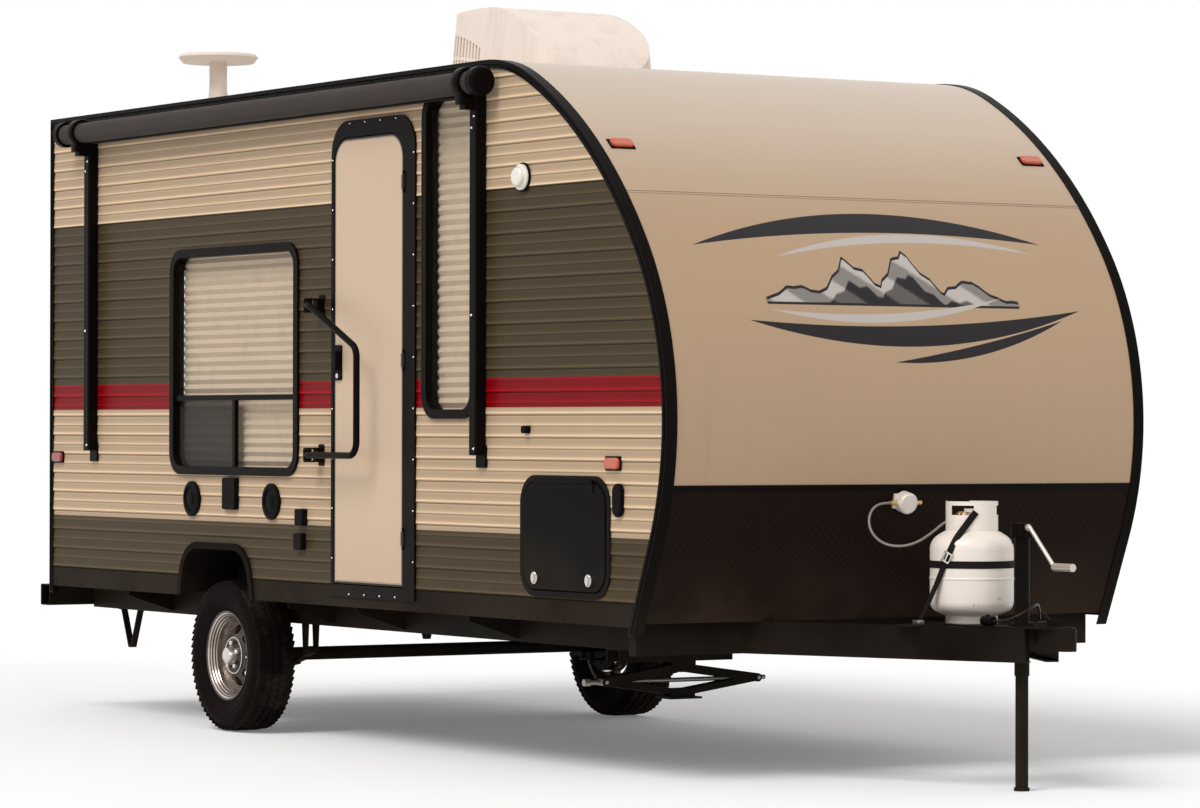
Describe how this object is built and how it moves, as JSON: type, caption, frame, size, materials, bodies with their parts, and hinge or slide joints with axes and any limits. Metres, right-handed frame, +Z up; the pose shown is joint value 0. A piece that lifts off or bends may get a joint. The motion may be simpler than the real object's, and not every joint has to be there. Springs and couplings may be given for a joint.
{
  "type": "single-axle travel trailer",
  "caption": "Single-axle travel trailer with rounded nose, banded lap siding, awning, gas bottle and scissor jack",
  "frame": {"origin": "centre of the overall box at ground level", "axes": "+X forward to the coupler, +Y to the left side, +Z up; the entry door is on the -Y side"},
  "size_m": [6.6486, 2.4538, 3.2116],
  "materials": {
    "frame_paint": "semi-gloss black chassis paint",
    "zinc": "zinc plated steel",
    "underbody": "black moisture barrier",
    "black_trim": "satin black aluminium",
    "wall_board": "plywood and foam wall",
    "roof_skin": "pale roof membrane",
    "tan_skin": "smooth tan skin",
    "dark_skin": "dark textured metal",
    "siding_paint": "lapped siding, painted in bands of tan, olive and red",
    "window_glass": "tinted glass",
    "blind_cloth": "cream pleated cloth",
    "black_plastic": "black moulded plastic",
    "bright_metal": "bright plated metal",
    "tyre_rubber": "black tyre rubber",
    "wheel_metal": "dark grey wheel with bright lip",
    "white_paint": "white enamel",
    "hose_rubber": "black rubber",
    "awning_cloth": "rolled awning cloth",
    "white_plastic": "off-white moulded plastic",
    "lamp_lens": "amber and red lenses"
  },
  "bodies": {
    "trailer": {"air_conditioner": "white_plastic", "awning_hardware": "black_trim", "awning_roll": "awning_cloth", "axle": "frame_paint", "blinds": "blind_cloth", "bottle_collar": "white_paint", "bottle_strap": "black_plastic", "chassis_rails": "frame_paint", "corner_trims": "black_trim", "coupler": "frame_paint", "cross_members": "frame_paint", "door_frames": "black_trim", "floor": "underbody", "gas_bottle": "white_paint", "gas_fittings": "zinc", "gas_hose": "hose_rubber", "jack_crank": "zinc", "jack_tube": "frame_paint", "lamps": "lamp_lens", "leaf_springs": "frame_paint", "nose_cap": "tan_skin", "nose_lower": "dark_skin", "nose_panel": "tan_skin", "rear_bumper": "frame_paint", "roof": "roof_skin", "roof_fittings": "white_plastic", "siding": "siding_paint", "skirts": "black_trim", "spring_fittings": "frame_paint", "stabiliser_base": "frame_paint", "tongue_beams": "frame_paint", "wall_fittings": "black_plastic", "wall_left": "wall_board", "wall_rear": "tan_skin", "wall_right": "wall_board", "wheel_wells": "black_trim", "window_frames": "black_trim", "window_panes": "window_glass", "wiring_cable": "hose_rubber", "wiring_plug": "black_plastic"},
    "wheel_right": {"tyre_right": "tyre_rubber", "rim_right": "wheel_metal", "hub_right": "bright_metal"},
    "wheel_left": {"tyre_left": "tyre_rubber", "rim_left": "wheel_metal", "hub_left": "bright_metal"},
    "door": {"entry_door": "tan_skin", "door_latch": "black_plastic"},
    "handle": {"grab_handle": "black_plastic"},
    "baggage": {"baggage_door": "black_plastic", "baggage_latches": "bright_metal"},
    "jack": {"jack_leg": "frame_paint"},
    "stab_upper_outer": {"stabiliser_upper_outer": "frame_paint"},
    "stab_upper_inner": {"stabiliser_upper_inner": "frame_paint"},
    "stab_lower_outer": {"stabiliser_lower_outer": "frame_paint"},
    "stab_lower_inner": {"stabiliser_lower_inner": "frame_paint"},
    "stab_foot": {"stabiliser_foot": "frame_paint"},
    "stab_screw": {"stabiliser_screw": "frame_paint"},
    "stab_nut": {"stabiliser_nut": "frame_paint"}
  },
  "joints": [
    {"name": "wheel_right_spin", "type": "hinge", "parent": "trailer", "child": "wheel_right", "pos_m": [-1.3787, -0.954, 0.338], "axis": [0, 1, 0], "continuous": true},
    {"name": "wheel_left_spin", "type": "hinge", "parent": "trailer", "child": "wheel_left", "pos_m": [-1.3787, 1.062, 0.338], "axis": [0, 1, 0], "continuous": true},
    {"name": "entry_door_swing", "type": "hinge", "parent": "trailer", "child": "door", "pos_m": [0.3323, -1.098, 1.6425], "axis": [0, 0, 1], "range_deg": [0, 88]},
    {"name": "grab_handle_swing", "type": "hinge", "parent": "trailer", "child": "handle", "pos_m": [-0.3907, -1.159, 1.5625], "axis": [0, 0, -1], "range_deg": [0, 172]},
    {"name": "baggage_door_swing", "type": "hinge", "parent": "trailer", "child": "baggage", "pos_m": [1.5953, -1.1004, 1.151], "axis": [-1, 0, 0], "range_deg": [0, 150]},
    {"name": "tongue_jack_slide", "type": "slide", "parent": "trailer", "child": "jack", "axis": [0, 0, 1], "range_m": [-0.04, 0.34]},
    {"name": "stabiliser_lift", "type": "hinge", "parent": "trailer", "child": "stab_upper_outer", "pos_m": [1.5173, -0.54, 0.405], "axis": [1, 0, 0], "range_deg": [0, 26]},
    {"name": "stabiliser_upper_inner_turn", "type": "hinge", "parent": "trailer", "child": "stab_upper_inner", "pos_m": [1.5173, -0.472, 0.405], "axis": [1, 0, 0], "range_deg": [-26, 0]},
    {"name": "stabiliser_lower_outer_turn", "type": "hinge", "parent": "stab_upper_outer", "child": "stab_lower_outer", "pos_m": [1.5173, -0.86679, 0.35907], "axis": [1, 0, 0], "range_deg": [-52, 0]},
    {"name": "stabiliser_lower_inner_turn", "type": "hinge", "parent": "stab_upper_inner", "child": "stab_lower_inner", "pos_m": [1.5173, -0.14521, 0.35907], "axis": [1, 0, 0], "range_deg": [0, 52]},
    {"name": "stabiliser_foot_turn", "type": "hinge", "parent": "stab_lower_outer", "child": "stab_foot", "pos_m": [1.5173, -0.54, 0.31315], "axis": [1, 0, 0], "range_deg": [0, 26]},
    {"name": "stabiliser_screw_turn", "type": "hinge", "parent": "stab_upper_outer", "child": "stab_screw", "pos_m": [1.5173, -0.86679, 0.35907], "axis": [1, 0, 0], "range_deg": [-26, 0]},
    {"name": "stabiliser_nut_turn", "type": "hinge", "parent": "stab_upper_inner", "child": "stab_nut", "pos_m": [1.5173, -0.14521, 0.35907], "axis": [1, 0, 0], "range_deg": [0, 26]}
  ],
  "couplings": [
    {"joint": "grab_handle_swing", "follows": "entry_door_swing", "ratio": 1.954},
    {"joint": "stabiliser_upper_inner_turn", "follows": "stabiliser_lift", "ratio": -1},
    {"joint": "stabiliser_lower_outer_turn", "follows": "stabiliser_lift", "ratio": -2},
    {"joint": "stabiliser_lower_inner_turn", "follows": "stabiliser_lift", "ratio": 2},
    {"joint": "stabiliser_foot_turn", "follows": "stabiliser_lift", "ratio": 1},
    {"joint": "stabiliser_screw_turn", "follows": "stabiliser_lift", "ratio": -1},
    {"joint": "stabiliser_nut_turn", "follows": "stabiliser_lift", "ratio": 1}
  ]
}
